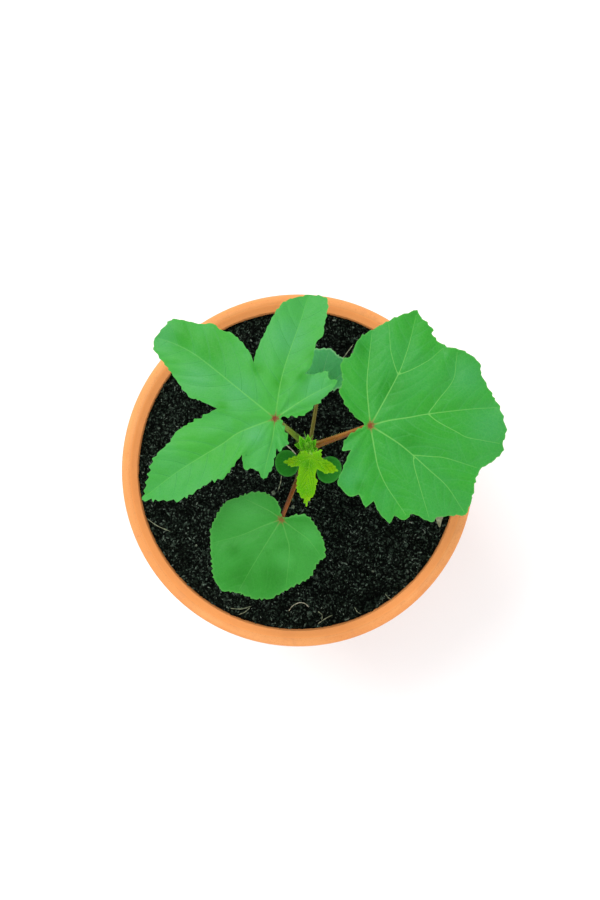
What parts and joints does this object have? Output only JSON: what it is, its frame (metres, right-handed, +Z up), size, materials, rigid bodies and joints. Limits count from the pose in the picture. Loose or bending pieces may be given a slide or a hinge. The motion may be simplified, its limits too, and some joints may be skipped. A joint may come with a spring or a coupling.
{
  "type": "potted okra plant",
  "caption": "Young okra plant with lobed and rounded leaves, growing in a round clay plant pot filled with potting soil.",
  "frame": {"origin": "centre of the pot's flat underside, on the pot's axis", "axes": "+Z up along the pot's axis; +X towards the large rounded leaf; +Y towards the small rear leaf"},
  "size_m": [0.2493, 0.24, 0.32],
  "materials": {
    "clay": "unglazed fired clay, matt",
    "earth": "dark moist potting soil, crumbly",
    "stem": "green stem, slightly glossy, finely haired",
    "red_stalk": "red-brown leaf stalk, slightly glossy",
    "olive_stalk": "olive-green leaf stalk, slightly glossy",
    "leaf_green": "living leaf, satin, with pale veins",
    "front_green": "older living leaf, satin, with pale veins",
    "blue_green": "oldest true leaf, satin, bluish green",
    "seed_green": "dark seed leaf, thick and satin",
    "lime_green": "young leaf, satin, yellowish green",
    "bud_green": "folded bud leaves, downy"
  },
  "bodies": {
    "root": {"pot": "clay", "soil": "earth", "stem": "stem", "seed_leaf_left": "seed_green", "seed_leaf_right": "seed_green", "leaf_rear": "blue_green", "leaf_rear_stalk": "olive_stalk", "leaf_front": "front_green", "leaf_front_stalk": "red_stalk", "leaf_right": "leaf_green", "leaf_right_stalk": "red_stalk", "leaf_left": "leaf_green", "leaf_left_stalk": "olive_stalk", "leaf_young": "lime_green", "leaf_young_stalk": "olive_stalk", "crown_bud": "bud_green"}
  },
  "joints": []
}
